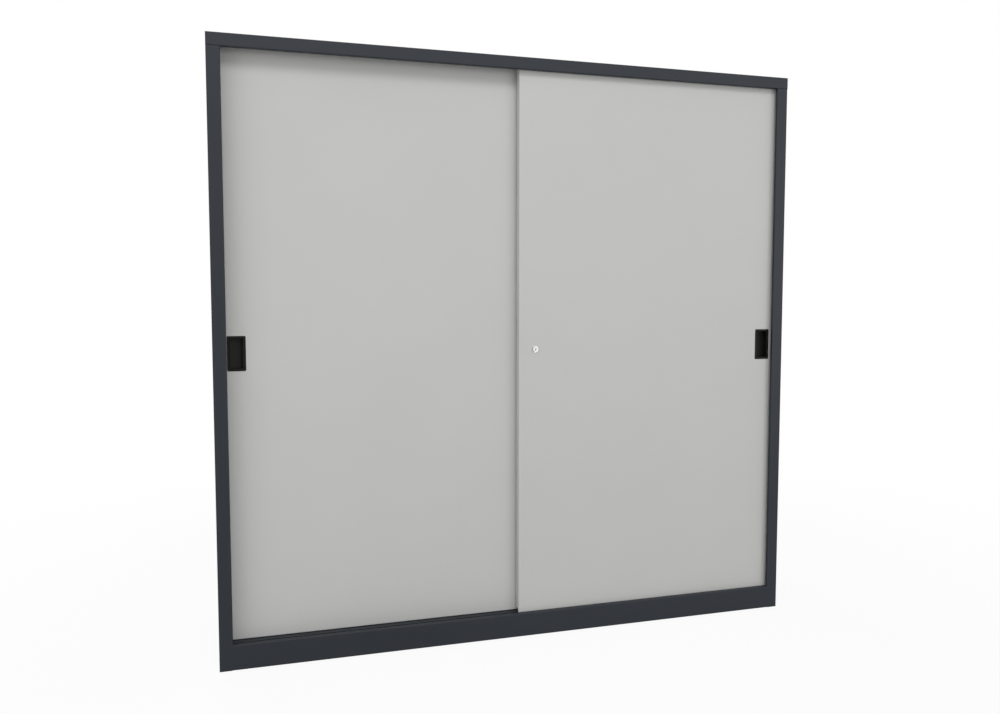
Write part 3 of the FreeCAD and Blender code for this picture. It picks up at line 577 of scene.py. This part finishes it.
def windSpring(node):
    low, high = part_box(node)
    centre = (low + high) / 2
    reach = (high.z - low.z - spring["wire"]) / 2
    start = Vector((centre.x + reach, low.y + spring["wire"] / 2, centre.z))
    steps = spring["coils"] * spring["stepsInCoil"]
    climb = (high.y - low.y - spring["wire"]) / steps
    shape = bmesh.new()
    ring = bmesh.ops.create_circle(shape, segments=spring["sides"], radius=spring["wire"] / 2,
                                   matrix=Matrix.Translation(start))["verts"]
    edges = list({edge for corner in ring for edge in corner.link_edges})
    bmesh.ops.spin(shape, geom=ring + edges, cent=centre, axis=(0, 1, 0), dvec=(0, climb, 0),
                   angle=math.tau * spring["coils"], steps=steps)
    bmesh.ops.holes_fill(shape, edges=[edge for edge in shape.edges if len(edge.link_faces) == 1])
    bmesh.ops.recalc_face_normals(shape, faces=shape.faces)
    piece = standIn(shape, node, "_wound")
    push = next(joint for joint in behaviour["joints"] if joint["name"] == "lock_push")
    1 - push["range_m"][1] / (high.y - low.y)
    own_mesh(piece)


windSpring("lock_spring")
print("rollers turned and spring wound")


# Studio: a white floor and sky, brighter to the camera and in reflections than as light

studio = {"floorDrop": 0.0004, "floorSize": 120.0, "floorColour": (0.86, 0.86, 0.86, 1.0),
          "bounceColour": (0.58, 0.58, 0.58, 1.0), "glow": 0.92, "mirroredGlow": 0.55,
          "fadeFrom": 1.3, "fadeTo": 3.6, "skyLight": 0.60, "skyColour": (0.8, 0.8, 0.8, 1.0),
          "seenSky": (1.0, 1.0, 1.0, 1.0)}


def rayKinds(finish):
    # 1 for rays from the camera, and 1 for those from a reflection or a refraction
    camera, glossy, through = finish.add(
        "ShaderNodeLightPath", outputs=("Is Camera Ray", "Is Glossy Ray", "Is Transmission Ray"))
    return camera, glossy.larger(through)


def makeFloor():
    shape = bmesh.new()
    bmesh.ops.create_grid(shape, x_segments=1, y_segments=1, size=studio["floorSize"] / 2,
                          matrix=Matrix.Translation((0, 0, -studio["floorDrop"])))
    mesh = bpy.data.meshes.new("floor")
    shape.to_mesh(mesh)
    shape.free()
    floor = bpy.data.objects.new("floor", mesh)
    bpy.context.scene.collection.objects.link(floor)
    finish = Finish("studioFloor")
    seen, mirrored = rayKinds(finish)
    colour = finish.blend(seen, studio["bounceColour"], studio["floorColour"])
    matt = finish.add("ShaderNodeBsdfDiffuse", None, {"Color": colour}, "BSDF")
    glow = finish.add("ShaderNodeEmission", None, {"Strength": 1.0}, "Emission")
    far = finish.ease(finish.length(finish.place()), studio["fadeFrom"], studio["fadeTo"],
                      studio["glow"], 1.0)
    share = (seen * far).larger(mirrored * studio["mirroredGlow"])
    finish.add("ShaderNodeOutputMaterial", None, {"Surface": finish.mixShaders(share, matt, glow)})
    dress(floor, finish.material)


def makeWorld():
    world = bpy.data.worlds.new("studio")
    world.use_nodes = True
    bpy.context.scene.world = world
    finish = Finish("studio", world.node_tree)
    dim = finish.add("ShaderNodeBackground", None,
                     {"Color": studio["skyColour"], "Strength": studio["skyLight"]}, "Background")
    white = finish.add("ShaderNodeBackground", None, {"Color": studio["seenSky"]}, "Background")
    seen, mirrored = rayKinds(finish)
    sky = finish.mixShaders(seen.larger(mirrored), dim, white)
    finish.add("ShaderNodeOutputWorld", None, {"Surface": sky})


lamps = {
    "key": {"at": (-0.5, -6.4, 6.6), "size": 2.5, "power": 158.0},
    "high": {"at": (-3.4, -6.1, 7.1), "size": 2.4, "power": 48.0},
    "left": {"at": (-6.0, -4.5, 2.2), "size": 4.0, "power": 74.0},
    "front": {"at": (3.2, -8.3, 1.5), "size": 4.5, "power": 90.0},
    "right": {"at": (5.0, -6.2, 1.6), "size": 3.0, "power": 46.0},
    "back": {"at": (-2.4, 6.4, 5.0), "size": 4.0, "power": 230.0},
}
lampTarget = Vector((0, 0, 0.95))


def makeLamps():
    for name, lamp in lamps.items():
        light = bpy.data.lights.new(name, "AREA")
        light.shape = "SQUARE"
        light.size = lamp["size"]
        light.energy = lamp["power"]
        obj = bpy.data.objects.new(name, light)
        bpy.context.scene.collection.objects.link(obj)
        obj.location = lamp["at"]
        obj.rotation_euler = (lampTarget - obj.location).to_track_quat("-Z", "Y").to_euler()


# the turn and tilt are in degrees, from level and straight at the front
camera = {"at": (-0.9706, -3.1061, 1.1818), "turn": -17.186, "tilt": -4.164, "lens": 32.385,
          "sensor": 36.0}


def makeCamera():
    lens = bpy.data.cameras.new("camera")
    lens.sensor_fit = "HORIZONTAL"
    lens.sensor_width = camera["sensor"]
    lens.lens = camera["lens"]
    obj = bpy.data.objects.new("camera", lens)
    bpy.context.scene.collection.objects.link(obj)
    obj.location = camera["at"]
    obj.rotation_euler = (math.radians(90 + camera["tilt"]), 0, math.radians(camera["turn"]))
    bpy.context.scene.camera = obj


makeFloor()
makeWorld()
makeLamps()
makeCamera()
bpy.context.scene.view_settings.view_transform = "Standard"
print("studio set up")
